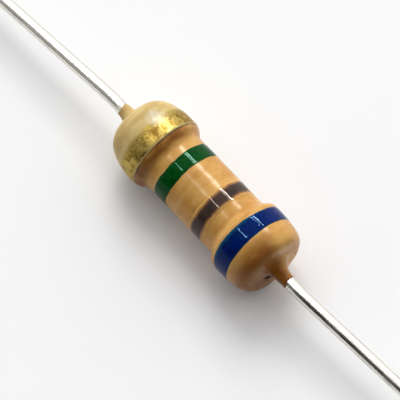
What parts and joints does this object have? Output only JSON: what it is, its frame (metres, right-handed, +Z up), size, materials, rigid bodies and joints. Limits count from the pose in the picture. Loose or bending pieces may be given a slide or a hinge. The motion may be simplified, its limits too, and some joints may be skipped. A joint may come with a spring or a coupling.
{
  "type": "axial resistor",
  "caption": "Small through-hole film resistor: a tan, dumbbell-shaped lacquered body with four colour bands and a thin wire lead at each end.",
  "frame": {"origin": "on the resting surface, under the middle of the body between its two end faces", "axes": "+X along the body towards the end with the first colour band, +Z up from the surface that it lies on"},
  "size_m": [0.0614, 0.0039, 0.0033],
  "materials": {
    "ceramic": "matte",
    "carbon_film": "satin",
    "end_cap": "satin",
    "lead_wire": "satin",
    "lacquer": "gloss",
    "first_digit_paint": "gloss",
    "second_digit_paint": "gloss",
    "multiplier_paint": "gloss",
    "tolerance_paint": "satin"
  },
  "bodies": {
    "root": {"ceramic_rod": "ceramic", "carbon_film": "carbon_film", "first_end_cap": "end_cap", "tolerance_end_cap": "end_cap", "first_end_lead": "lead_wire", "tolerance_end_lead": "lead_wire", "lacquer_coat": "lacquer", "band_first_digit": "first_digit_paint", "band_second_digit": "second_digit_paint", "band_multiplier": "multiplier_paint", "band_tolerance": "tolerance_paint"}
  },
  "joints": []
}
